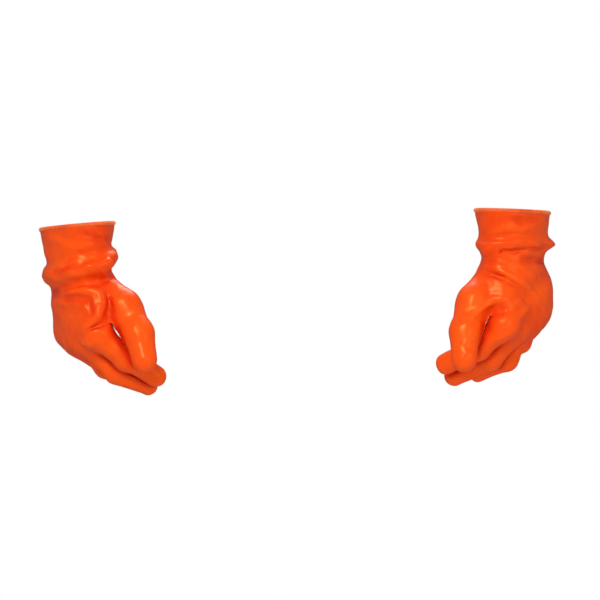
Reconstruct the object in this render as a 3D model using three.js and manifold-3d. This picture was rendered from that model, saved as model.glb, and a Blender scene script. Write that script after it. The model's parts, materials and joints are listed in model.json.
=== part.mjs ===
// A pair of insulated cold-work gloves: a PVC-dipped skin over a soft lining, worn on two hanging hands.
// Millimetres, +Z up. The wearer faces -Y, so the right glove is at -X. The origin is midway between the wrists.
import * as THREE from "three";
import { mergeVertices } from "three/addons/utils/BufferGeometryUtils.js";
import Module from "manifold-3d";

// ---- driving dimensions -------------------------------------------------------------------------
const SKIN = 1.6; // the PVC skin
const GAP = 0.3; // clearance between neighbouring solids
const LINING = 2.2; // the soft lining
const HOLLOW = SKIN + GAP + LINING; // how deep the hollow lies under the outside
const SIDES = 8; // facets round a digit
const HOLLOW_SIDES = 6; // facets round the hollow that the fingers fill
const END_STEPS = 2; // facets from a round end's rim to its pole
const CUFF_SIDES = 16; // facets round the gauntlet
const TUCK = 0.5; // each digit tube starts this much slimmer than the round end that it leaves
const LONG = 400; // longer than a glove, for cutting blocks

// How each glove is worn. wrist: its wrist centre. tilt: the hand leans forward. yaw: the back of the hand
// turns to the front. lean: the fingertips swing away from the body. cuffLean: the gauntlet's top swings out.
// curls: each finger's bend at its knuckle and at its middle joint. Angles in degrees.
const GLOVES = {
  right: {
    wrist: [-262, 0, -8],
    tilt: 14,
    yaw: 28,
    lean: 0,
    cuffLean: 5,
    curls: { index: [48, 12], middle: [42, 24], ring: [43, 28], little: [46, 28] },
  },
  left: {
    wrist: [253, 0, 9.5],
    tilt: 10,
    yaw: 28,
    lean: 9,
    cuffLean: 2,
    curls: { index: [58, 15], middle: [50, 23], ring: [43, 25], little: [41, 28] },
  },
};

// In a glove's own axes x runs to the fingertips, y to the palm side and z to the thumb side.
// knuckle: centre of the knuckle. base, tip: lengths from knuckle to middle joint to the fingertip's centre.
const FINGERS = {
  index: { knuckle: [73, -1, 34], radius: 12.4, base: 45, tip: 42 },
  middle: { knuckle: [77, -3, 8], radius: 12.4, base: 48, tip: 44 },
  ring: { knuckle: [70, -5, -17], radius: 12, base: 46, tip: 40 },
  little: { knuckle: [55, -7, -41], radius: 11.2, base: 36, tip: 34 },
};
const STRIP_EDGES = [LONG, 21, -4.5, -29.2, -LONG]; // z between the fingers, index side first
const THUMB = {
  points: [[16, 13, 18], [45, 31, 46], [79, 38.2, 62.6], [112, 39, 69.4]],
  radii: [24, 20.6, 17.2, 15],
};
const THUMB_ROOM = { radius: 22, length: 120 }; // the space past the thumb's root that the hand leaves free
const ROOT_AT = 8; // the thumb's root joint, this far past the thumb's second point
const ZONE = { wrist: 14, knuckle: 13, joint: 10, thumb: 9 }; // half-lengths of the bending zones
const PALM_RADIUS = 20; // metacarpal tubes at the wrist
const KNUCKLE_SWELL = 3; // metacarpal tubes at the knuckle, over the finger's radius
const PALM_PADS = [
  { centre: [34, 3, -2], size: [42, 22, 47] },
  { centre: [28, 4, -33], size: [42, 21, 25] }, // the heel of the hand, on the little finger's side
];

// The gauntlet is elliptical: [height above the wrist, half thickness], mouth first.
const CUFF_PROFILE = [[64, 42], [44, 38.5], [30, 35.8], [20, 39], [12, 37.6], [3, 34.6], [-12, 33], [-28, 26], [-38, 12]];
const LINED_HEIGHTS = [64, 30, 3, -12, -38]; // the lining passes the roll by, straight inside it
const CUFF_END = -42; // where the gauntlet's form closes inside the palm
const CUFF_WIDTH = 1.36; // width over thickness
const PAST_MOUTH = 6; // the hollow's form runs on past the mouth, so that the mouth is open
const LINING_RECESS = 2; // the lining stops this far below the mouth
const BEAD = 2.3; // radius of the hem bead

const orange = { color: 0xf14a14, roughness: 0.35, metalness: 0 };
const FINISHES = {
  coating: new THREE.MeshStandardMaterial(orange),
  bead: new THREE.MeshStandardMaterial({ ...orange, roughness: 0.45 }),
  lining: new THREE.MeshStandardMaterial({ color: 0xe9dcc4, roughness: 0.95, metalness: 0 }),
};

const vec = (p) => new THREE.Vector3(...p);
const radians = THREE.MathUtils.degToRad;
const wasm = await Module();
wasm.setup();

// ---- solids ------------------------------------------------------------------------------------
function solidOf(geometry) {
  const bare = geometry.clone();
  bare.deleteAttribute("uv");
  bare.deleteAttribute("normal");
  const merged = mergeVertices(bare, 1e-4);
  const vertProperties = new Float32Array(merged.attributes.position.array);
  const triVerts = new Uint32Array(merged.index.array);
  return new wasm.Manifold(new wasm.Mesh({ numProp: 3, vertProperties, triVerts }));
}

function geometryOf(solid) {
  const mesh = solid.getMesh();
  const geometry = new THREE.BufferGeometry();
  geometry.setAttribute("position", new THREE.BufferAttribute(new Float32Array(mesh.vertProperties), 3));
  geometry.setIndex(new THREE.BufferAttribute(new Uint32Array(mesh.triVerts), 1));
  geometry.computeVertexNormals();
  return geometry;
}

const joined = (solids) => solids.reduce((all, one) => all.add(one));

// The largest body of a cut, without the crumbs that a plane leaves at a web.
function largest(solid) {
  return solid.decompose().reduce((best, one) => (one.volume() > best.volume() ? one : best));
}

// A tapering tube from one point to another. Its far end is round, and its near end flat or round.
function capsule(from, to, radiusFrom, radiusTo, { roundStart = false, coarse = false } = {}) {
  const length = to.distanceTo(from);
  const endSteps = coarse ? 1 : END_STEPS;
  const profile = [new THREE.Vector2(0, roundStart ? -radiusFrom : 0)];
  for (let i = 1; i < endSteps && roundStart; i++) {
    const turn = (Math.PI / 2) * (i / endSteps);
    profile.push(new THREE.Vector2(radiusFrom * Math.sin(turn), -radiusFrom * Math.cos(turn)));
  }
  profile.push(new THREE.Vector2(radiusFrom, 0));
  for (let i = 0; i < endSteps; i++) {
    const turn = (Math.PI / 2) * (i / endSteps);
    profile.push(new THREE.Vector2(radiusTo * Math.cos(turn), length + radiusTo * Math.sin(turn)));
  }
  profile.push(new THREE.Vector2(0, length + radiusTo));
  const geometry = new THREE.LatheGeometry(profile, coarse ? HOLLOW_SIDES : SIDES);
  const along = to.clone().sub(from).normalize();
  const turnTo = new THREE.Quaternion().setFromUnitVectors(new THREE.Vector3(0, 1, 0), along);
  geometry.applyQuaternion(turnTo);
  geometry.translate(from.x, from.y, from.z);
  return solidOf(geometry);
}

// Everything further than `near` from a point, along a direction.
function beyond(point, direction, near) {
  const geometry = new THREE.BoxGeometry(LONG, LONG, LONG);
  const turnTo = new THREE.Quaternion().setFromUnitVectors(new THREE.Vector3(1, 0, 0), direction);
  geometry.translate(LONG / 2 + near, 0, 0);
  geometry.applyQuaternion(turnTo);
  geometry.translate(point.x, point.y, point.z);
  return solidOf(geometry);
}

const before = (point, direction, far) => beyond(point, direction.clone().negate(), -far);

// The slice of space between two heights z, as long and wide as a cutting block.
function strip(low, high) {
  const geometry = new THREE.BoxGeometry(LONG, LONG, high - low);
  geometry.translate(0, 0, (low + high) / 2);
  return solidOf(geometry);
}

// ---- the glove's form, shrunk by `inset`: 0 is the outside of the skin -----------------------------
function cuffForm(cuff, inset) {
  const profile = [new THREE.Vector2(0, CUFF_END + inset)];
  for (const [height, half] of [...CUFF_PROFILE].reverse()) {
    if (inset <= SKIN || LINED_HEIGHTS.includes(height)) profile.push(new THREE.Vector2(half - inset, height));
  }
  const top = profile[profile.length - 1];
  if (inset > 0) profile.push(new THREE.Vector2(top.x, top.y + PAST_MOUTH));
  profile.push(new THREE.Vector2(0, profile[profile.length - 1].y));
  const geometry = new THREE.LatheGeometry(profile, CUFF_SIDES);
  geometry.scale(1, 1, CUFF_WIDTH);
  geometry.applyMatrix4(cuff.matrix);
  return solidOf(geometry);
}

function ellipsoid(centre, size, inset) {
  const geometry = new THREE.SphereGeometry(1, 12, 8);
  geometry.scale(size[0] - inset, size[1] - inset, size[2] - inset);
  geometry.translate(...centre);
  return solidOf(geometry);
}

// One finger: its metacarpal tube, its base and its tip.
function fingerForm(finger, inset) {
  const facets = { coarse: inset === HOLLOW };
  const start = new THREE.Vector3(5, 0, finger.knuckle.z * 0.75);
  const swollen = finger.radius + KNUCKLE_SWELL - inset;
  return {
    metacarpal: capsule(start, finger.knuckle, PALM_RADIUS - inset, swollen, facets),
    base: capsule(finger.knuckle, finger.joint, finger.radius + TUCK - inset, finger.radius - inset, facets),
    tip: capsule(finger.joint, finger.end, finger.radius - TUCK - inset, finger.radius - 2 * TUCK - inset, facets),
  };
}

function thumbForm(inset) {
  const facets = { coarse: inset === HOLLOW };
  const [mound, root, joint, end] = THUMB.points.map(vec);
  const [r0, r1, r2, r3] = THUMB.radii.map((r) => r - inset);
  return {
    mound: capsule(mound, root, r0, r1, { ...facets, roundStart: true }),
    base: capsule(root, joint, r1 - TUCK, r2, facets),
    tip: capsule(joint, end, r2 - TUCK, r3, facets),
  };
}

// ---- one glove, as a group of named meshes -----------------------------------------------------
function gloveGroup(side, worn) {
  const mirror = side === "right" ? 1 : -1;
  const [tilt, yaw, lean] = [worn.tilt, worn.yaw, worn.lean].map(radians);
  const leaning = new THREE.Matrix4().makeRotationY(lean);
  const toTips = new THREE.Vector3(Math.sin(tilt) * Math.sin(yaw), -Math.sin(tilt) * Math.cos(yaw), -Math.cos(tilt));
  const toPalm = new THREE.Vector3(Math.cos(yaw), Math.sin(yaw), 0);
  const toThumb = new THREE.Vector3().crossVectors(toTips, toPalm);
  const axes = [toTips, toPalm, toThumb].map((axis) => axis.applyMatrix4(leaning));
  const place = new THREE.Matrix4().makeBasis(...axes);

  // The gauntlet's axis, seen from the hand: up the forearm.
  const cuffTurn = radians(worn.cuffLean);
  const up = new THREE.Vector3(-Math.sin(cuffTurn), 0, Math.cos(cuffTurn)).applyMatrix4(place.clone().invert());
  const cuffSide = new THREE.Vector3(0, 1, 0).addScaledVector(up, -up.y).normalize();
  const cuffThumb = new THREE.Vector3().crossVectors(cuffSide, up);
  const cuff = { up, matrix: new THREE.Matrix4().makeBasis(cuffSide, up, cuffThumb) };

  const fingers = Object.entries(FINGERS).map(([name, size]) => {
    const [atKnuckle, atJoint] = worn.curls[name].map(radians);
    const alongBase = new THREE.Vector3(Math.cos(atKnuckle), Math.sin(atKnuckle), 0);
    const alongTip = new THREE.Vector3(Math.cos(atKnuckle + atJoint), Math.sin(atKnuckle + atJoint), 0);
    const knuckle = vec(size.knuckle);
    const joint = knuckle.clone().addScaledVector(alongBase, size.base);
    const end = joint.clone().addScaledVector(alongTip, size.tip);
    return { name, radius: size.radius, knuckle, joint, end, alongBase, alongTip };
  });

  const X = new THREE.Vector3(1, 0, 0);
  const wrist = new THREE.Vector3();
  const half = GAP / 2;
  const mouth = CUFF_PROFILE[0][0];
  const [, thumbRoot, thumbJoint, thumbEnd] = THUMB.points.map(vec);
  const thumbAlong = thumbJoint.clone().sub(thumbRoot).normalize();
  const thumbTipAlong = thumbEnd.clone().sub(thumbJoint).normalize();
  const thumbHinge = thumbRoot.clone().addScaledVector(thumbAlong, ROOT_AT);

  // The glove's form at four depths: outside, inside of the skin, outside of the lining, and the hollow.
  const depths = [0, SKIN, SKIN + GAP, HOLLOW];
  const digits = fingers.map((finger) => depths.map((inset) => fingerForm(finger, inset)));
  const thumbs = depths.map((inset) => thumbForm(inset));
  const palms = depths.map((inset, i) =>
    joined([
      cuffForm(cuff, inset),
      ...PALM_PADS.map((pad) => ellipsoid(pad.centre, pad.size, inset)),
      thumbs[i].mound,
      thumbs[i].base,
      ...digits.map((forms) => forms[i].metacarpal),
    ]),
  );
  const palmSkin = palms[0].subtract(palms[1]);
  const palmLining = palms[2].subtract(palms[3]).intersect(before(wrist, up, mouth - LINING_RECESS));

  // The hand runs as far as each knuckle's bending zone, and the thumb's starts past it.
  const strips = fingers.map((finger, i) => strip(STRIP_EDGES[i + 1] + half, STRIP_EDGES[i] - half));
  const handReach = joined(
    fingers.map((finger, i) =>
      strip(STRIP_EDGES[i + 1], STRIP_EDGES[i]).intersect(before(finger.knuckle, X, -ZONE.knuckle - half)),
    ),
  );
  const thumbStart = thumbHinge.clone().addScaledVector(thumbAlong, -ZONE.thumb - half);
  const thumbFar = thumbHinge.clone().addScaledVector(thumbAlong, THUMB_ROOM.length);
  const thumbRoom = capsule(thumbStart, thumbFar, THUMB_ROOM.radius, THUMB_ROOM.radius);
  const thumbReach = capsule(thumbStart, thumbFar, THUMB_ROOM.radius - GAP, THUMB_ROOM.radius - GAP);

  const made = [];
  const add = (name, solid, finish) => made.push([`${side}_${name}`, largest(solid), FINISHES[finish]]);

  const aboveWrist = beyond(wrist, up, ZONE.wrist + half);
  const belowCuff = before(wrist, up, ZONE.wrist - half);
  add("gauntlet", palmSkin.intersect(aboveWrist), "coating");
  add("wrist_skin", palmSkin.intersect(belowCuff).intersect(before(wrist, X, ZONE.wrist - half)), "coating");
  const hand = palmSkin.intersect(beyond(wrist, X, ZONE.wrist + half)).intersect(belowCuff);
  add("hand", hand.intersect(handReach).subtract(thumbRoom), "coating");
  add("hand_lining", palmLining.intersect(handReach).subtract(thumbRoom), "lining");

  fingers.forEach((finger, i) => {
    const [outside, inside, liningOutside, hollow] = digits[i].map((form) =>
      joined([form.metacarpal, form.base, form.tip]),
    );
    const skin = outside.subtract(inside);
    const fromHand = beyond(finger.knuckle, X, -ZONE.knuckle + half).intersect(strips[i]);
    const pastKnuckle = beyond(finger.knuckle, finger.alongBase, ZONE.knuckle + half);
    const atKnuckle = before(finger.knuckle, finger.alongBase, ZONE.knuckle - half);
    const nearJoint = before(finger.joint, finger.alongBase, -ZONE.joint - half);
    const fromJoint = beyond(finger.joint, finger.alongBase, -ZONE.joint + half);
    const toJoint = before(finger.joint, finger.alongTip, ZONE.joint - half);
    const pastJoint = beyond(finger.joint, finger.alongTip, ZONE.joint + half);
    add(`${finger.name}_knuckle_skin`, skin.intersect(fromHand).intersect(atKnuckle), "coating");
    add(`${finger.name}_base`, skin.intersect(pastKnuckle).intersect(nearJoint), "coating");
    add(`${finger.name}_joint_skin`, skin.intersect(fromJoint).intersect(toJoint), "coating");
    add(`${finger.name}_tip`, skin.intersect(pastJoint), "coating");
    add(`${finger.name}_lining`, liningOutside.subtract(hollow).intersect(fromHand), "lining");
  });

  const [thumbOut, thumbIn, thumbLiningOut, thumbHollow] = thumbs.map((form) =>
    joined([form.mound, form.base, form.tip]),
  );
  const thumbSkin = thumbOut.subtract(thumbIn);
  const fromRoot = beyond(thumbHinge, thumbAlong, -ZONE.thumb + half).intersect(thumbReach);
  const nearTip = before(thumbJoint, thumbAlong, -ZONE.thumb - half);
  const pastRoot = beyond(thumbHinge, thumbAlong, ZONE.thumb + half);
  const atRoot = before(thumbHinge, thumbAlong, ZONE.thumb - half);
  const fromTipJoint = beyond(thumbJoint, thumbAlong, -ZONE.thumb + half);
  const toTipJoint = before(thumbJoint, thumbTipAlong, ZONE.thumb - half);
  add("thumb_root_skin", thumbSkin.intersect(fromRoot).intersect(atRoot), "coating");
  add("thumb_base", thumbSkin.intersect(pastRoot).intersect(nearTip), "coating");
  add("thumb_joint_skin", thumbSkin.intersect(fromTipJoint).intersect(toTipJoint), "coating");
  add("thumb_tip", thumbSkin.intersect(beyond(thumbJoint, thumbTipAlong, ZONE.thumb + half)), "coating");
  add("thumb_lining", thumbLiningOut.subtract(thumbHollow).intersect(fromRoot), "lining");

  // The hem: a bead round the mouth, resting on the rim of the skin.
  const rimHalf = CUFF_PROFILE[0][1] - SKIN / 2;
  const bead = new THREE.TorusGeometry(rimHalf, BEAD, 6, CUFF_SIDES);
  bead.rotateX(Math.PI / 2);
  bead.scale(1, 1, (rimHalf * CUFF_WIDTH + BEAD) / (rimHalf + BEAD));
  bead.translate(0, mouth + GAP + BEAD, 0);
  bead.applyMatrix4(cuff.matrix);
  add("hem_bead", solidOf(bead), "bead");

  const glove = new THREE.Group();
  for (const [name, solid, finish] of made) {
    const mesh = new THREE.Mesh(geometryOf(solid), finish);
    mesh.name = name;
    mesh.applyMatrix4(place);
    glove.add(mesh);
  }
  glove.scale.x = mirror;
  glove.position.set(...worn.wrist);
  return glove;
}

const gloves = new THREE.Group();
for (const [side, worn] of Object.entries(GLOVES)) gloves.add(gloveGroup(side, worn));

export default gloves;
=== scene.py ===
import json

import bmesh
import bpy
import numpy as np
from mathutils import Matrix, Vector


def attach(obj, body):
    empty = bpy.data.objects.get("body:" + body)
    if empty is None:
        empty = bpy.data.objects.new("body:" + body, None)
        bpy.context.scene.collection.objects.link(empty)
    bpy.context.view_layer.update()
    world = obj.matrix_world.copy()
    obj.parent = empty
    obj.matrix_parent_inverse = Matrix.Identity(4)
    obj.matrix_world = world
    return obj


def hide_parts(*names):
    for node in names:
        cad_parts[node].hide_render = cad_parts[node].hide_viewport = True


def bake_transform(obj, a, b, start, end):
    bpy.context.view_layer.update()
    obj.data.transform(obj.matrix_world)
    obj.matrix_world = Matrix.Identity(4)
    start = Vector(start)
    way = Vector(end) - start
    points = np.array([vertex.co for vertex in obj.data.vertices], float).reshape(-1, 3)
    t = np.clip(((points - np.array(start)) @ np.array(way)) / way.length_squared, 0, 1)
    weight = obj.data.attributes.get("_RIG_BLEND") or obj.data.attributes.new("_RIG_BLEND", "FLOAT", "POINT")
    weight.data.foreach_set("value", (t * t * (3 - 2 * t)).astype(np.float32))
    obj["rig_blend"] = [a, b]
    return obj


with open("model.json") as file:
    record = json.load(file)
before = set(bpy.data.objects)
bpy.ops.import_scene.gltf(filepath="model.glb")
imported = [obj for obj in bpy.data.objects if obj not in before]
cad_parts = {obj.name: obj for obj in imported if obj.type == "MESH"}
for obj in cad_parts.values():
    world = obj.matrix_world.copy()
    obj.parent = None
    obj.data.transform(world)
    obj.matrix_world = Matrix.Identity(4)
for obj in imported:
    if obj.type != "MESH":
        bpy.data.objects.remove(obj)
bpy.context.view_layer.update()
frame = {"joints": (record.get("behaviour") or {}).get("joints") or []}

import openvdb
from mathutils import Vector

# A pair of orange PVC-dipped cold-work gloves, worn on two hanging, half-curled hands. Each glove's skin is
# sculpted as one distance field round the joints of the CAD model, then cut into the pieces that its joints
# move. Inside a glove lengths are in millimetres, in the glove's own axes: x to the fingertips, y to the
# palm side, z to the thumb side, from the wrist's centre.

MM = 0.001
FINGERS = ("index", "middle", "ring", "little")
CELL = 1.5  # grid step of the skin
GRID_LOW = (-98.0, -62.0, -80.0)
GRID_HIGH = (176.0, 114.0, 102.0)
LINING_DEPTH = 3.0  # the lining's inner face, below the outside of the skin
LINING_STEPS = 2  # the lining's grid is this many times coarser

# Radii of each finger at the knuckle, the middle joint and the tip.
FINGER_RADII = {
    "right": {
        "index": (15.2, 14.0, 12.6),
        "middle": (14.4, 13.4, 12.4),
        "ring": (12.8, 12.2, 11.6),
        "little": (11.2, 10.8, 10.6),
    },
    "left": {
        "index": (15.2, 14.0, 12.6),
        "middle": (14.4, 13.4, 12.4),
        "ring": (13.6, 13.4, 12.0),
        "little": (13.2, 12.8, 11.2),
    },
}
# The thumb's mound in the palm, and its radii there, at its root, at its joint and at its tip.
THUMB_MOUND = (16.0, 14.0, 18.0)
THUMB_RADII = (24.0, 20.8, 17.2, 15.3)
TIP_PAST = {"left": {"index": 3.0, "middle": 7.2}}  # how far the PVC bulges past a CAD fingertip
# How far the skin's centre line lies outside a bent middle joint, or inside it where this is below zero.
STAND_OFF = {"right": {"ring": -2.0, "little": -2.5}, "left": {"ring": 4.5, "little": 3.5}}
TIP_RADII = {"thumb": 15.0, "index": 11.8, "middle": 11.6, "ring": 11.4, "little": 10.6}

# Padding over the hand: the centre and half sizes of each pad.
PADS = {
    "right": (((34, 2, -2), (44, 22, 46)), ((26, 3, -34), (46, 22, 28)), ((48, -4, 0), (32, 18, 44))),
    "left": (((34, 2, -2), (44, 22, 46)), ((28, -10, -26), (46, 24, 37))),
}

# The gauntlet: height above the wrist and half thickness there, from inside the palm to past the mouth.
CUFFS = {
    "right": (
        (-90, -46, -30, -16, -4, 4, 9, 13, 20, 28, 33, 38, 50, 64, 76),
        (-60, 10, 25, 32.5, 34.8, 34.6, 36.0, 41.0, 44.6, 43.6, 38.8, 37.2, 39.6, 41.8, 42.4),
    ),
    "left": (
        (-90, -46, -30, -16, -4, 5, 12, 18, 24, 29, 32, 38, 50, 64, 76),
        (-60, 10, 25, 32.5, 34.4, 33.8, 34.2, 37.2, 40.4, 41.6, 38.4, 37.2, 39.6, 41.8, 42.4),
    ),
}
CUFF_WIDTH = 1.36  # width over thickness
# The bunched roll's height on its way round: half of its change from the palm to the back, and its rise.
ROLL_SLOPE = {"right": (-7.5, 2.5), "left": (1.5, 0.5)}
ROLL_HEIGHT = 21.0
ROLL_WIDTH = 11.0
# Above this height the gauntlet is smooth again, after this fade.
ROLL_END = 34.0
ROLL_FADE = 14.0
# The left gauntlet flares out on the side of the little finger.
FLARE = 10.5
FLARE_HEIGHT = 31.0
FLARE_WIDTH = 9.0

# Folds of the skin, as seen from the front: millimetres to the right of the wrist's centre and up from it.
# Each has a height (a groove's is below zero), a half width and the points that it runs through.
FOLDS = {
    "right": (
        (3.9, 4.4, ((-18, -12), (6, -8.5), (24, -13), (29, -25), (24, -40), (8, -54))),
        (-2.6, 4.2, ((-24, -20), (-4, -18), (12, -22), (16, -36))),
        (-3.1, 3.4, ((10, -58), (27, -51), (41, -46))),
        (-2.1, 4.0, ((34, -16), (38, -30), (36, -42))),
        (-3.1, 4.6, ((42, 26), (21, 29), (-2, 21), (-30, 8))),
        (-3.9, 5.0, ((40, 4), (24, 0), (8, -2), (-8, -6), (-24, -11), (-40, -18))),
        (1.7, 3.6, ((-36, -27), (-24, -25), (-12, -29))),
        (1.6, 4.0, ((28, 14), (34, 4), (46, -8))),
        (-1.6, 3.2, ((-34, 12), (-22, 20), (-6, 27))),
        (2.3, 5.0, ((2, -70), (8, -74), (16, -72))),
        (1.3, 4.0, ((66, -30), (70, -44), (66, -58))),
        (1.7, 5.0, ((-34, 52), (-16, 44), (4, 42), (18, 46))),
        (-1.7, 4.5, ((2, 58), (16, 52), (36, 50))),
    ),
    "left": (
        (2.9, 3.8, ((-34, 2), (-10, -7), (10, -18), (27, -31))),
        (-2.3, 4.0, ((-30, -6), (-8, -15), (8, -26))),
        (1.8, 3.8, ((-14, 6), (10, -1), (28, -12))),
        (4.2, 4.4, ((-57, -66), (-43, -52), (-24, -39), (-8, -38))),
        (-3.4, 8.0, ((-38, -62), (-24, -55), (-8, -51))),
        (2.9, 4.2, ((-4, -46), (8, -42), (16, -50), (6, -60))),
        (3.4, 5.0, ((-26, -89), (-8, -80), (7, -70))),
        (1.7, 3.6, ((-64, -93), (-54, -87), (-44, -82))),
        (1.4, 3.6, ((-62, -99), (-52, -104), (-44, -108))),
        (-2.9, 3.0, ((-40, 16), (-12, 18), (20, 21), (46, 25))),
        (-2.6, 3.4, ((12, 8), (28, 8), (42, 4))),
        (1.7, 5.0, ((-30, 40), (-12, 46), (8, 44), (26, 50))),
        (-1.6, 4.5, ((-6, 58), (12, 54), (34, 56))),
    ),
}

# Where the pieces part: before the joint that bends them, and for the thumb's base past its root.
KNUCKLE_CUT = 14.5
JOINT_CUT = {"thumb": 14.0, "index": 20.0, "middle": 20.0, "ring": 20.0, "little": 16.0}
THUMB_CUT = 2.0
CRUMB = 0.01  # an island with less than this share of the largest one's vertices is dropped
# Half lengths of the bends.
WRIST_BEND = 14.0
KNUCKLE_BEND = 13.0
JOINT_BEND = 10.0
THUMB_BEND = 9.0
THUMB_ROOT_BEND = 14.0  # the whole length of the bend at the thumb's root

BEAD_RADIUS = 2.3
BEAD_INSET = 0.9  # the bead's centre line lies this far inside the skin's edge
MOUTH_OVERLAP = 2.0  # the skin ends this far below the bead's centre line
LINING_RECESS = 2.0  # the lining ends this far below the skin
OVERLOCK_TURNS = 132
TURN_STEPS = 8
THREAD_RADIUS = 0.32
THREAD_LIFT = 0.1  # the thread's centre line lies this far outside the bead

joints = {joint["name"]: joint for joint in frame["joints"]}


# ---- fields -----------------------------------------------------------------------------------------
def smooth_min(a, b, k):
    h = np.clip(0.5 + 0.5 * (b - a) / k, 0.0, 1.0)
    return b + (a - b) * h - k * h * (1.0 - h)


def smooth_step(t):
    t = np.clip(t, 0.0, 1.0)
    return t * t * (3.0 - 2.0 * t)


def along_line(grid, a, b):
    """How far along the line from a to b each point lies (0 to 1), and its distance from the line."""
    a, b = np.array(a, float), np.array(b, float)
    way = b - a
    dx, dy, dz = (g - c for g, c in zip(grid, a))
    t = np.clip((dx * way[0] + dy * way[1] + dz * way[2]) / (way @ way), 0.0, 1.0)
    return t, np.sqrt((dx - t * way[0]) ** 2 + (dy - t * way[1]) ** 2 + (dz - t * way[2]) ** 2)


def capsule(grid, a, b, ra, rb):
    """Distance to a tapering round-ended tube from a to b, with radii ra and rb."""
    t, gap = along_line(grid, a, b)
    return gap - (ra + (rb - ra) * t)


def ellipsoid(grid, centre, size):
    k = np.sqrt(sum(((g - c) / s) ** 2 for g, c, s in zip(grid, centre, size)))
    return (k - 1.0) * min(size)


def dot(grid, direction):
    return sum(g * d for g, d in zip(grid, direction))


def unit(v):
    v = np.array(v, float)
    return v / np.linalg.norm(v)


# ---- a glove's own axes and joints, from the frame --------------------------------------------------
class Glove:
    def __init__(self, side):
        self.side = side
        self.hand = 1.0 if side == "right" else -1.0
        wrist = joints[f"{side}_wrist_bend"]
        self.wrist = np.array(wrist["pos_m"]) / MM
        knuckles = [self.pivot(f"{finger}_knuckle_bend") for finger in FINGERS]
        z = unit(wrist["axis"]) * self.hand
        middle = sum(knuckles) / len(knuckles) - self.wrist
        x = unit(middle - z * (middle @ z))
        y = np.cross(z, x) * self.hand
        self.axes = np.array([x, y, z])
        self.knuckle = {f: self.local(k) for f, k in zip(FINGERS, knuckles)}
        self.joint = {f: self.local(self.pivot(f"{f}_joint_bend")) for f in FINGERS}
        self.end = {f: self.tip_centre(f, self.joint[f]) for f in FINGERS}
        self.thumb_root = self.local(self.pivot("thumb_spread"))
        self.thumb_joint = self.local(self.pivot("thumb_bend"))
        self.thumb_end = self.tip_centre("thumb", self.thumb_joint)
        self.thumb_along = unit(self.thumb_joint - self.thumb_root)
        self.mouth = self.node_points("hem_bead").mean(axis=0)
        self.up = unit(self.mouth)
        palm = np.array([0.0, 1.0, 0.0])
        self.cuff_palm = unit(palm - self.up * (palm @ self.up))
        self.cuff_thumb = np.cross(self.cuff_palm, self.up)

    def pivot(self, name):
        return np.array(joints[f"{self.side}_{name}"]["pos_m"]) / MM

    def local(self, points):
        return (np.asarray(points, float) - self.wrist) @ self.axes.T

    def world(self, points):
        """Metres in the frame, from glove millimetres."""
        return (np.asarray(points, float) @ self.axes + self.wrist) * MM

    def node_points(self, node):
        vertices = bpy.data.objects[f"{self.side}_{node}"].data.vertices
        co = np.empty(len(vertices) * 3)
        vertices.foreach_get("co", co)
        return self.local(co.reshape(-1, 3) / MM)

    def tip_centre(self, digit, joint):
        """The centre of a digit's round end, from its CAD tip."""
        points = self.node_points(f"{digit}_tip")
        way = unit(points.mean(axis=0) - joint)
        past = TIP_PAST.get(self.side, {}).get(digit, 0.0)
        return joint + way * (((points - joint) @ way).max() - TIP_RADII[digit] + past)

    def front_rays(self, sideways, upward):
        """Points from in front of the glove to behind it, in line with a place seen from the front."""
        depth = np.arange(-110.0, 60.0, 1.0)
        ray = np.stack([np.full_like(depth, sideways), depth, np.full_like(depth, upward)], axis=1)
        return ray @ self.axes.T


# ---- the glove's form -------------------------------------------------------------------------------
def cuff_half(side, height):
    """The gauntlet's half thickness, with its profile's corners rounded off."""
    table = np.arange(-95.0, 90.0, 0.5)
    profile = np.interp(table, *CUFFS[side])
    bell = np.exp(-0.5 * (np.arange(-8, 9) / 3.0) ** 2)
    padded = np.pad(profile, 8, mode="edge")
    return np.interp(height, table, np.convolve(padded, bell / bell.sum(), mode="valid"))


def cuff_field(glove, grid):
    height = dot(grid, glove.up)
    across = dot(grid, glove.cuff_palm)
    wide = dot(grid, glove.cuff_thumb) / CUFF_WIDTH
    angle = np.arctan2(across, wide)
    above = smooth_step((height - ROLL_END) / ROLL_FADE)
    # The bunched gauntlet's roll rises and falls on its way round.
    slope, offset = ROLL_SLOPE[glove.side]
    swell = offset + slope * np.sin(angle) + 1.5 * np.sin(3 * angle + 1.0)
    roll_height = height + (1.0 - above) * swell
    half = cuff_half(glove.side, roll_height)
    bunched = np.exp(-(((roll_height - ROLL_HEIGHT) / ROLL_WIDTH) ** 2))
    half = half + bunched * (1.1 * np.sin(4 * angle + 0.5) + 0.7 * np.sin(9 * angle + 0.25 * height))
    waves = 0.9 * np.sin(3 * angle + 0.05 * height) + 0.5 * np.sin(7 * angle + 0.09 * height)
    half = half + above * waves
    if glove.side == "left":
        bell = np.exp(-(((height - FLARE_HEIGHT) / FLARE_WIDTH) ** 2))
        half = half + FLARE * bell * smooth_step(-wide / 34.0)
    return (np.sqrt(across**2 + wide**2) - half) * 0.9


def thumb_field(glove, grid):
    r0, r1, r2, r3 = THUMB_RADII
    root = glove.thumb_root - glove.thumb_along * 8.0
    mound = capsule(grid, THUMB_MOUND, root, r0, r1)
    base = capsule(grid, root, glove.thumb_joint, r1, r2)
    tip = capsule(grid, glove.thumb_joint, glove.thumb_end, r2, r3)
    return smooth_min(smooth_min(mound, base, 10.0), tip, 8.0)


def finger_field(glove, grid, name):
    r0, r1, r2 = FINGER_RADII[glove.side][name]
    knuckle, joint, end = glove.knuckle[name], glove.joint[name], glove.end[name]
    outside = unit(unit(joint - knuckle) + unit(joint - end))
    bend = joint + outside * STAND_OFF[glove.side].get(name, 0.0)
    return smooth_min(capsule(grid, knuckle, bend, r0, r1), capsule(grid, bend, end, r1, r2), 7.0)


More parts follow.
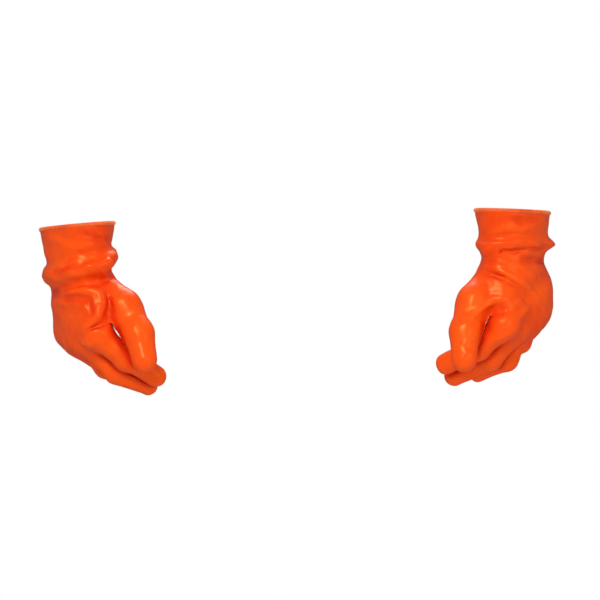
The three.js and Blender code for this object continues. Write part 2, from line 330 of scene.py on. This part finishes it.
def palm_field(glove, grid):
    field = None
    for name in FINGERS:
        knuckle = glove.knuckle[name]
        start = np.array([4.0, 0.0, knuckle[2] * 0.72])
        bone = capsule(grid, start, knuckle + [-2, 0, 0], 19.0, FINGER_RADII[glove.side][name][0] + 0.8)
        field = bone if field is None else smooth_min(field, bone, 24.0)
    for centre, size in PADS[glove.side]:
        field = smooth_min(field, ellipsoid(grid, centre, size), 12.0)
    return field


def finger_plane(glove):
    """Point and normal of the slanting plane across the palm where the finger pieces start."""
    near = glove.knuckle["index"] + [-KNUCKLE_CUT, 0, 0]
    far = glove.knuckle["little"] + [-KNUCKLE_CUT, 0, 0]
    slope = (near[0] - far[0]) / (near[2] - far[2])
    return near, unit([1.0, 0.0, -slope])


def walls(glove, name):
    """The planes z = wall on both sides of a finger, where it meets its neighbours: [(wall, way out)]."""
    i = FINGERS.index(name)
    radii = [FINGER_RADII[glove.side][finger][0] for finger in FINGERS]
    heights = [glove.knuckle[finger][2] for finger in FINGERS]
    found = []
    for a, b, out in ((i - 1, i, 1.0), (i, i + 1, -1.0)):
        if 0 <= a and b < len(FINGERS):
            wall = (heights[a] * radii[b] + heights[b] * radii[a]) / (radii[a] + radii[b])
            found.append((wall, out))
    return found


def undulation(grid):
    """Slow swells of the thick skin over the soft lining."""
    x, y, z = grid
    swell = 0.55 * np.sin(0.085 * x + 0.06 * y + 1.3) * np.sin(0.10 * z - 0.04 * x + 0.4)
    swell = swell + 0.30 * np.sin(0.17 * x - 0.12 * z + 0.08 * y + 2.0)
    return swell + 0.18 * np.sin(0.31 * z + 0.22 * y + 0.12 * x) * np.sin(0.27 * x - 0.19 * y)


class Form:
    """The fields of one glove on one grid: the block of palm and fingers, the thumb, and both together."""

    def __init__(self, glove):
        self.glove = glove
        self.steps = [np.arange(low, high, CELL) for low, high in zip(GRID_LOW, GRID_HIGH)]
        self.low = np.array(GRID_LOW)
        grid = np.meshgrid(*self.steps, indexing="ij", sparse=True)
        palm = smooth_min(palm_field(glove, grid), cuff_field(glove, grid), 10.0)
        point, normal = finger_plane(glove)
        past = dot([g - p for g, p in zip(grid, point)], normal)
        merge = 1.2 + 17.0 * (1.0 - smooth_step(past / 36.0))
        block = None
        for name in FINGERS:
            field = finger_field(glove, grid, name)
            block = field if block is None else smooth_min(block, field, merge)
        self.block = smooth_min(palm, block, 9.0)
        self.thumb = thumb_field(glove, grid)
        self.whole = smooth_min(self.block, self.thumb, 9.0)
        relief = undulation(grid)
        for height, width, points in FOLDS[glove.side]:
            self.add_fold(relief, height, width, [self.on_front(*p) for p in points])
        self.block = self.block - relief
        self.thumb = self.thumb - relief
        self.whole = self.whole - relief

    def on_front(self, sideways, upward):
        """The place on the glove's surface that lies there as seen from the front."""
        ray = self.glove.front_rays(sideways, upward)
        field = self.sample(self.whole, ray)
        inside = np.nonzero(field < 0)[0]
        return ray[inside[0] if len(inside) else int(np.argmin(field))]

    def add_fold(self, relief, height, width, points):
        """Raises a rounded ridge along the points, or sinks a groove, fading out at both ends."""
        reach = 2.6 * width
        low = np.min(points, axis=0) - reach
        high = np.max(points, axis=0) + reach
        spans = [slice(*np.searchsorted(s, (a, b))) for s, a, b in zip(self.steps, low, high)]
        grid = np.meshgrid(*(s[span] for s, span in zip(self.steps, spans)), indexing="ij", sparse=True)
        lengths = [np.linalg.norm(b - a) for a, b in zip(points, points[1:])]
        total, done = sum(lengths), 0.0
        most = 0.0
        for a, b, length in zip(points, points[1:], lengths):
            t, gap = along_line(grid, a, b)
            way = (done + t * length) / total
            fade = smooth_step(way / 0.25) * smooth_step((1.0 - way) / 0.25)
            most = np.maximum(most, (0.3 + 0.7 * fade) * np.exp(-((gap / width) ** 2)))
            done += length
        relief[tuple(spans)] += height * most

    def sample(self, field, points):
        """Values of a field at points, by trilinear interpolation."""
        at = (np.asarray(points) - self.low) / CELL
        cell = np.clip(np.floor(at).astype(int), 0, np.array(field.shape) - 2)
        f = at - cell
        value = 0.0
        for dx in (0, 1):
            for dy in (0, 1):
                for dz in (0, 1):
                    weight = np.abs(1 - dx - f[:, 0]) * np.abs(1 - dy - f[:, 1]) * np.abs(1 - dz - f[:, 2])
                    value = value + weight * field[cell[:, 0] + dx, cell[:, 1] + dy, cell[:, 2] + dz]
        return value

    def normals(self, field, points):
        slopes = []
        for shift in np.eye(3):
            slopes.append(self.sample(field, points + shift) - self.sample(field, points - shift))
        slopes = np.stack(slopes, axis=1)
        return slopes / np.maximum(np.linalg.norm(slopes, axis=1, keepdims=True), 1e-9)

    def unshaded(self, points, normals):
        """1 on open skin and lower in creases and between the fingers, where the PVC gets painted shade."""
        near = self.sample(self.whole, points + normals * 4.0) / 4.0
        far = self.sample(self.whole, points + normals * 11.0) / 11.0
        return np.clip(0.5 * near + 0.5 * far, 0.0, 1.0)

    def surface(self, field, level=0.0, coarse=1):
        """Vertices in glove millimetres and quads where the field has this level."""
        part = np.ascontiguousarray(field[::coarse, ::coarse, ::coarse], dtype=np.float32)
        volume = openvdb.FloatGrid(50.0)
        volume.copyFromArray(part)
        points, quads = volume.convertToQuads(isovalue=level)
        return points.astype(float) * CELL * coarse + self.low, quads.astype(int)


# ---- materials --------------------------------------------------------------------------------------
def node(tree, kind, **values):
    made = tree.nodes.new(kind)
    for name, value in values.items():
        made.inputs[name.replace("_", " ")].default_value = value
    return made


def ramp(tree, fac, low, high, at=(0.0, 1.0)):
    made = tree.nodes.new("ShaderNodeValToRGB")
    made.color_ramp.elements[0].position, made.color_ramp.elements[1].position = at
    made.color_ramp.elements[0].color = low
    made.color_ramp.elements[1].color = high
    tree.links.new(fac, made.inputs["Fac"])
    return made.outputs["Color"]


def noise(tree, scale, detail=3.0, roughness=0.5):
    made = node(tree, "ShaderNodeTexNoise", Scale=scale, Detail=detail, Roughness=roughness)
    coordinates = tree.nodes.new("ShaderNodeTexCoord")
    tree.links.new(coordinates.outputs["Object"], made.inputs["Vector"])
    return made.outputs["Fac"]


def bump(tree, height, distance, strength, under=None):
    made = node(tree, "ShaderNodeBump", Distance=distance, Strength=strength)
    tree.links.new(height, made.inputs["Height"])
    if under is not None:
        tree.links.new(under, made.inputs["Normal"])
    return made.outputs["Normal"]


def mix(tree, fac, colour, other):
    """A colour where fac is 0, and the other node's colour where it is 1."""
    made = tree.nodes.new("ShaderNodeMix")
    made.data_type = "RGBA"
    tree.links.new(fac, made.inputs[0])
    made.inputs[6].default_value = colour
    tree.links.new(other, made.inputs[7])
    return made.outputs[2]


def start_material(name, **values):
    material = bpy.data.materials.new(name)
    material.use_nodes = True
    shader = material.node_tree.nodes["Principled BSDF"]
    for key, value in values.items():
        shader.inputs[key.replace("_", " ")].default_value = value
    return material, material.node_tree, shader


def pvc(name, colour, shaded_colour, roughness):
    """Glossy dipped PVC: redder and darker in its creases as painted shade, with a faint orange peel and
    dull scuffed patches.
    """
    material, tree, shader = start_material(
        name, IOR=1.42, Specular_Tint=(1.0, 0.70, 0.22, 1.0),
        Subsurface_Weight=0.12, Subsurface_Scale=0.005, Subsurface_Radius=(1.0, 0.35, 0.1),
    )
    # Painted shade: the creases and the gaps between the fingers get the darker, redder shaded colour, by
    # the mask of how open the skin is.
    shade_attribute = tree.nodes.new("ShaderNodeAttribute")
    shade_attribute.attribute_name = "unshaded"
    patches = noise(tree, 22.0, 4.0, 0.6)
    worn = (colour[0] * 0.95, colour[1] * 0.82, colour[2])
    fresh = ramp(tree, patches, (*worn, 1), (*colour, 1), (0.3, 0.65))
    unshaded_share = ramp(tree, shade_attribute.outputs["Fac"], (0, 0, 0, 1), (1, 1, 1, 1), (0.35, 0.95))
    tree.links.new(mix(tree, unshaded_share, (*shaded_colour, 1), fresh), shader.inputs["Base Color"])
    scuffs = noise(tree, 55.0, 6.0, 0.65)
    glossy, dull = (roughness - 0.06,) * 3, (roughness + 0.07,) * 3
    gloss = ramp(tree, scuffs, (*glossy, 1), (*dull, 1), (0.35, 0.75))
    tree.links.new(gloss, shader.inputs["Roughness"])
    wrinkles = bump(tree, noise(tree, 95.0, 2.0, 0.45), 0.0011, 0.32)
    peel = bump(tree, noise(tree, 620.0, 2.0, 0.5), 0.0002, 0.16, wrinkles)
    tree.links.new(peel, shader.inputs["Normal"])
    return material


def fleece_material():
    """Brushed acrylic fleece: soft tufts in two sizes."""
    material, tree, shader = start_material(
        "fleece", Roughness=0.95, Sheen_Weight=0.35, Sheen_Roughness=0.5, Sheen_Tint=(1.0, 0.95, 0.85, 1.0),
    )
    tufts = noise(tree, 380.0, 5.0, 0.7)
    colour = ramp(tree, tufts, (0.52, 0.44, 0.32, 1), (0.86, 0.79, 0.66, 1), (0.3, 0.65))
    tree.links.new(colour, shader.inputs["Base Color"])
    pile = bump(tree, noise(tree, 240.0, 4.0, 0.6), 0.0016, 0.8)
    tree.links.new(bump(tree, tufts, 0.0008, 0.7, pile), shader.inputs["Normal"])
    return material


def thread_material():
    """Twisted polyester overlock thread."""
    material, tree, shader = start_material("thread", Roughness=0.6, Sheen_Weight=0.2)
    strands = noise(tree, 1500.0, 2.0, 0.5)
    colour = ramp(tree, strands, (0.75, 0.20, 0.05, 1), (0.92, 0.34, 0.10, 1), (0.3, 0.7))
    tree.links.new(colour, shader.inputs["Base Color"])
    tree.links.new(bump(tree, strands, 0.0003, 0.6), shader.inputs["Normal"])
    return material


def floor_material():
    return start_material("floor", Roughness=0.85, Base_Color=(0.8, 0.8, 0.8, 1))[0]


# ---- pieces -----------------------------------------------------------------------------------------
def cut(points, faces, planes, drop, finger_walls=()):
    """Splits the mesh along the planes, drops the faces whose centres drop() picks, and closes the walls."""
    mesh = bmesh.new()
    made = [mesh.verts.new(p) for p in points]
    for face in faces:
        mesh.faces.new([made[i] for i in face])
    for point, normal in planes:
        geometry = mesh.verts[:] + mesh.edges[:] + mesh.faces[:]
        bmesh.ops.bisect_plane(mesh, geom=geometry, dist=1e-4, plane_co=point, plane_no=normal)
    mesh.faces.ensure_lookup_table()
    gone = drop(np.array([f.calc_center_median() for f in mesh.faces]))
    bmesh.ops.delete(mesh, geom=[f for f, g in zip(mesh.faces, gone) if g], context="FACES")
    drop_crumbs(mesh)
    close_walls(mesh, finger_walls)
    return mesh


def drop_crumbs(mesh):
    """Deletes the small islands that a cut leaves apart from the piece."""
    left = set(mesh.verts)
    islands = []
    while left:
        seed = left.pop()
        island, open_ends = [seed], [seed]
        while open_ends:
            for link in open_ends.pop().link_edges:
                for vert in link.verts:
                    if vert in left:
                        left.remove(vert)
                        island.append(vert)
                        open_ends.append(vert)
        islands.append(island)
    least = CRUMB * max(len(island) for island in islands)
    for island in islands:
        if len(island) < least:
            bmesh.ops.delete(mesh, geom=island, context="VERTS")


def chains(edges):
    """Runs of joined edges, as lists of vertices in order."""
    links = {}
    for edge in edges:
        for vert in edge.verts:
            links.setdefault(vert, []).append(edge)
    left = set(edges)
    ends = [v for v, e in links.items() if len(e) == 1] + list(links)
    runs = []
    for vert in ends:
        run = [vert]
        step = next((e for e in links[vert] if e in left), None)
        while step is not None:
            left.remove(step)
            run.append(step.other_vert(run[-1]))
            step = next((e for e in links[run[-1]] if e in left), None)
        if len(run) > 3:
            runs.append(run[:-1] if run[0] is run[-1] else run)
    return runs


def close_walls(mesh, finger_walls):
    """Closes a finger's flat sides, where it is cut from its neighbours. Its rim there runs along the back
    and the palm side, in one run round the web or in two."""
    wall_layer = mesh.verts.layers.float.new("wall")
    boundary = [edge for edge in mesh.edges if edge.is_boundary]
    for wall, out in finger_walls:
        rim = [edge for edge in boundary if all(abs(v.co.z - wall) < 1e-3 for v in edge.verts)]
        runs = sorted(chains(rim), key=len, reverse=True)[:2]
        if not runs:
            continue
        if len(runs) == 2:
            first, second = runs
            near, far = ((first[-1].co - second[k].co).length for k in (0, -1))
            runs = [first + (second if near < far else second[::-1])]
        copies = [mesh.verts.new(v.co) for v in runs[0]]
        for copy in copies:
            copy[wall_layer] = out
        face = mesh.faces.new(copies)
        face.normal_update()
        if face.normal.z * out < 0:
            face.normal_flip()
        bmesh.ops.triangulate(mesh, faces=[face])


def finish_piece(form, mesh, field, name, slot):
    """Makes a cut mesh an object in the frame, with normals from the field. A lining faces inwards."""
    glove = form.glove
    inwards = slot == "lining"
    local = np.array([v.co for v in mesh.verts])
    normals = form.normals(field, local)
    wall_layer = mesh.verts.layers.float["wall"]
    out = np.array([v[wall_layer] for v in mesh.verts])
    normals[out != 0] = np.stack([0 * out, 0 * out, out], axis=1)[out != 0]
    # How open each place is: the mask of the painted shade in creases and between the fingers.
    unshaded = form.unshaded(local, normals)
    if (glove.hand < 0) != inwards:
        bmesh.ops.reverse_faces(mesh, faces=mesh.faces[:])
    for vert, place in zip(mesh.verts, glove.world(local)):
        vert.co = place
    data = bpy.data.meshes.new(name)
    mesh.to_mesh(data)
    mesh.free()
    data.polygons.foreach_set("use_smooth", np.ones(len(data.polygons), bool))
    data.normals_split_custom_set_from_vertices((-normals if inwards else normals) @ glove.axes)
    data.attributes.new("unshaded", "FLOAT", "POINT").data.foreach_set("value", unshaded)
    data.materials.append(materials[slot])
    piece = bpy.data.objects.new(name, data)
    bpy.context.collection.objects.link(piece)
    return piece


def beyond(points, origin, normal):
    """Which points lie on the side of a plane that its normal points to."""
    return (points - origin) @ normal > 0


class Cutter:
    """Cuts a glove's skin, or its lining, into the pieces that the joints move."""

    def __init__(self, form, slot):
        self.form, self.glove, self.slot = form, form.glove, slot
        self.is_skin = slot == "coating"
        level, coarse = (0.0, 1) if self.is_skin else (-LINING_DEPTH, LINING_STEPS)
        self.whole = form.surface(form.whole, level, coarse)
        self.block = form.surface(form.block, level, coarse)
        self.plane = finger_plane(self.glove)
        self.thumb_plane = self.glove.thumb_root + self.glove.thumb_along * THUMB_CUT
        below = MOUTH_OVERLAP + (0.0 if self.is_skin else LINING_RECESS)
        self.rim = self.glove.up * (self.glove.mouth @ self.glove.up - below)

    def thumb_side(self, points):
        return self.form.sample(self.form.thumb, points) < self.form.sample(self.form.block, points)

    def past_thumb_plane(self, points):
        return beyond(points, self.thumb_plane, self.glove.thumb_along) & self.thumb_side(points)

    def piece(self, name, mesh, field, bodies, start, end, replaced):
        """A cut mesh as a named piece that bends from the first body to the second between start and end."""
        side, kind = self.glove.side, "skin" if self.is_skin else "lining"
        made = finish_piece(self.form, mesh, field, f"{side}_{name}_{kind}", self.slot)
        first, second = (f"{side}_{body}" for body in bodies)
        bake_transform(made, first, second, self.glove.world(start), self.glove.world(end))
        if replaced:
            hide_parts(*(f"{side}_{part}" for part in replaced))

    def hand(self):
        up = self.glove.up

        def not_hand(points):
            past_block = beyond(points, *self.plane) & ~self.thumb_side(points)
            return self.past_thumb_plane(points) | past_block | beyond(points, self.rim, up)

        planes = [self.plane, (self.thumb_plane, self.glove.thumb_along), (self.rim, up)]
        mesh = cut(*self.whole, planes, not_hand)
        bend = (up * WRIST_BEND, (WRIST_BEND, 0, 0))
        replaced = ("gauntlet", "wrist_skin", "hand") if self.is_skin else ("hand_lining",)
        self.piece("hand", mesh, self.form.whole, ("gauntlet", "hand"), *bend, replaced)

    def thumb(self):
        glove, field = self.glove, self.form.whole
        along, joint = glove.thumb_along, glove.thumb_joint
        split = joint - along * JOINT_CUT["thumb"]

        def not_base(points):
            return ~self.past_thumb_plane(points) | beyond(points, split, along)

        mesh = cut(*self.whole, [(self.thumb_plane, along), (split, along)], not_base)
        bend = (self.thumb_plane, self.thumb_plane + along * THUMB_ROOT_BEND)
        replaced = ("thumb_root_skin", "thumb_base") if self.is_skin else ("thumb_lining",)
        self.piece("thumb_base", mesh, field, ("hand", "thumb_base"), *bend, replaced)

        def not_tip(points):
            return ~self.past_thumb_plane(points) | ~beyond(points, split, along)

        mesh = cut(*self.whole, [(split, along)], not_tip)
        bend = (joint - along * THUMB_BEND, joint + unit(glove.thumb_end - joint) * THUMB_BEND)
        replaced = ("thumb_joint_skin", "thumb_tip") if self.is_skin else ()
        self.piece("thumb_tip", mesh, field, ("thumb_base", "thumb_tip"), *bend, replaced)

    def finger(self, name):
        glove, field = self.glove, self.form.block
        knuckle, joint, end = glove.knuckle[name], glove.joint[name], glove.end[name]
        along = unit(joint - knuckle)
        split = joint - along * JOINT_CUT[name]
        sides = walls(glove, name)
        cuts = [((0.0, 0.0, wall), (0.0, 0.0, out)) for wall, out in sides]

        def elsewhere(points):
            away = ~beyond(points, *self.plane)
            for wall, out in sides:
                away = away | ((points[:, 2] - wall) * out > 0)
            return away | self.thumb_side(points) if name == "index" else away

        def not_base(points):
            return elsewhere(points) | beyond(points, split, along)

        mesh = cut(*self.block, [self.plane, (split, along), *cuts], not_base, sides)
        half = self.plane[1] * KNUCKLE_BEND
        bend = (knuckle - half, knuckle + half)
        replaced = (f"{name}_knuckle_skin", f"{name}_base") if self.is_skin else (f"{name}_lining",)
        self.piece(f"{name}_base", mesh, field, ("hand", f"{name}_base"), *bend, replaced)

        def not_tip(points):
            return elsewhere(points) | ~beyond(points, split, along)

        mesh = cut(*self.block, [(split, along), *cuts], not_tip, sides)
        bend = (joint - along * JOINT_BEND, joint + unit(end - joint) * JOINT_BEND)
        replaced = (f"{name}_joint_skin", f"{name}_tip") if self.is_skin else ()
        self.piece(f"{name}_tip", mesh, field, (f"{name}_base", f"{name}_tip"), *bend, replaced)


# ---- the hem ----------------------------------------------------------------------------------------
def mouth_outline(form, count):
    """Points round the mouth's edge and the directions that lead out of it, in glove millimetres."""
    glove = form.glove
    angles = np.linspace(0.0, 2 * np.pi, count, endpoint=False)[:, None]
    out = np.cos(angles) * glove.cuff_thumb * CUFF_WIDTH + np.sin(angles) * glove.cuff_palm
    height = glove.up * (glove.mouth @ glove.up - MOUTH_OVERLAP)
    reach = np.linspace(30.0, 52.0, 89)
    values = np.stack([form.sample(form.whole, height + out * r) for r in reach], axis=1)
    ray, first = np.arange(count), np.argmax(values > 0, axis=1)
    outside, inside = values[ray, first], values[ray, first - 1]
    edge = reach[first] - outside / (outside - inside) * (reach[1] - reach[0])
    return height + out * edge[:, None], out / np.linalg.norm(out, axis=1, keepdims=True)


def swept_ring(glove, name, centres, radius, sides, material):
    """A closed round cord through the centres."""
    count = len(centres)
    ahead = np.roll(centres, -1, axis=0) - np.roll(centres, 1, axis=0)
    ahead /= np.linalg.norm(ahead, axis=1, keepdims=True)
    side = np.cross(ahead, glove.up)
    side /= np.linalg.norm(side, axis=1, keepdims=True)
    other = np.cross(side, ahead)
    angles = np.linspace(0.0, 2 * np.pi, sides, endpoint=False)
    rings = [centres + radius * (np.cos(a) * side + np.sin(a) * other) for a in angles]
    points = np.stack(rings, axis=1).reshape(-1, 3)
    faces = []
    for i in range(count):
        this, following = i * sides, (i + 1) % count * sides
        for k in range(sides):
            beside = (k + 1) % sides
            faces.append((this + k, this + beside, following + beside, following + k))
    data = bpy.data.meshes.new(name)
    data.from_pydata([tuple(p) for p in glove.world(points)], [], faces)
    mesh = bmesh.new()
    mesh.from_mesh(data)
    bmesh.ops.recalc_face_normals(mesh, faces=mesh.faces[:])
    mesh.to_mesh(data)
    mesh.free()
    data.polygons.foreach_set("use_smooth", np.ones(len(data.polygons), bool))
    # The cords get no painted shade: their mask is 1 all over.
    data.attributes.new("unshaded", "FLOAT", "POINT").data.foreach_set("value", np.ones(len(points)))
    data.materials.append(material)
    ring = bpy.data.objects.new(name, data)
    bpy.context.collection.objects.link(ring)
    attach(ring, f"{glove.side}_gauntlet")
    return ring


def hem(form):
    """The beaded hem round the mouth, and the overlock thread wound over it."""
    glove = form.glove
    edge, out = mouth_outline(form, 120)
    centres = edge - out * BEAD_INSET + glove.up * MOUTH_OVERLAP
    bead = swept_ring(glove, f"{glove.side}_hem", centres, BEAD_RADIUS, 12, materials["hem"])
    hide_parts(f"{glove.side}_hem_bead")
    steps = OVERLOCK_TURNS * TURN_STEPS
    edge, out = mouth_outline(form, steps)
    middle = edge - out * BEAD_INSET + glove.up * MOUTH_OVERLAP
    turn = np.arange(steps)[:, None] * (2 * np.pi / TURN_STEPS)
    winding = middle + (BEAD_RADIUS + THREAD_LIFT) * (np.cos(turn) * out + np.sin(turn) * glove.up)
    swept_ring(glove, f"{glove.side}_hem_overlock", winding, THREAD_RADIUS, 5, materials["thread"])


# ---- stage ------------------------------------------------------------------------------------------
def area_light(name, place, size, energy):
    """A round lamp aimed at the frame's origin."""
    lamp = bpy.data.objects.new(name, bpy.data.lights.new(name, "AREA"))
    lamp.data.energy = energy
    lamp.data.shape = "DISK"
    lamp.data.size = size
    bpy.context.collection.objects.link(lamp)
    lamp.location = place
    lamp.rotation_euler = (-Vector(place)).to_track_quat("-Z", "Y").to_euler()


def floor():
    size, height = 3.2, -0.75
    corners = [(-size, -size, height), (size, -size, height), (size, size, height), (-size, size, height)]
    mesh = bpy.data.meshes.new("floor")
    mesh.from_pydata(corners, [], [(0, 1, 2, 3)])
    mesh.materials.append(floor_material())
    plane = bpy.data.objects.new("floor", mesh)
    bpy.context.collection.objects.link(plane)
    plane.visible_glossy = False


def surroundings():
    """A white studio: white to look at, softer as light, and dim in reflections, where the lamps show."""
    world = bpy.data.worlds.new("studio")
    bpy.context.scene.world = world
    world.use_nodes = True
    tree = world.node_tree
    light = tree.nodes["Background"]
    light.inputs["Color"].default_value = (1, 1, 1, 1)
    light.inputs["Strength"].default_value = 0.5
    rays = tree.nodes.new("ShaderNodeLightPath")
    shown = light
    for ray, strength in (("Is Glossy Ray", 0.12), ("Is Camera Ray", 1.0)):
        other = node(tree, "ShaderNodeBackground", Color=(1, 1, 1, 1), Strength=strength)
        pick = tree.nodes.new("ShaderNodeMixShader")
        tree.links.new(rays.outputs[ray], pick.inputs["Fac"])
        tree.links.new(shown.outputs[0], pick.inputs[1])
        tree.links.new(other.outputs["Background"], pick.inputs[2])
        shown = pick
    tree.links.new(shown.outputs[0], tree.nodes["World Output"].inputs["Surface"])


def camera():
    view = bpy.data.objects.new("camera", bpy.data.cameras.new("camera"))
    view.data.lens = 180
    view.data.sensor_width = 36
    view.location = (0, -3.6, 0.0)
    aim = Vector((0, 0, -0.03))
    view.rotation_euler = (aim - view.location).to_track_quat("-Z", "Y").to_euler()
    bpy.context.collection.objects.link(view)
    bpy.context.scene.camera = view


def stage():
    floor()
    surroundings()
    camera()
    area_light("key", (-0.6, -2.1, 1.3), 0.8, 38)
    area_light("fill", (1.4, -1.8, 0.1), 1.2, 10)
    area_light("top", (0.1, 1.5, 2.0), 1.6, 26)
    bpy.context.scene.view_settings.view_transform = "Standard"


# ---- assembly ---------------------------------------------------------------------------------------
materials = {
    # Each PVC's second colour is the painted shade put in its creases.
    "coating": pvc("coating", (0.93, 0.088, 0.005), (0.70, 0.022, 0.002), 0.34),
    "hem": pvc("hem", (0.90, 0.070, 0.005), (0.70, 0.025, 0.003), 0.44),
    "lining": fleece_material(),
    "thread": thread_material(),
}

for glove_side in ("right", "left"):
    form = Form(Glove(glove_side))
    for slot_name in ("coating", "lining"):
        cutter = Cutter(form, slot_name)
        cutter.hand()
        cutter.thumb()
        for finger_name in FINGERS:
            cutter.finger(finger_name)
    hem(form)

stage()
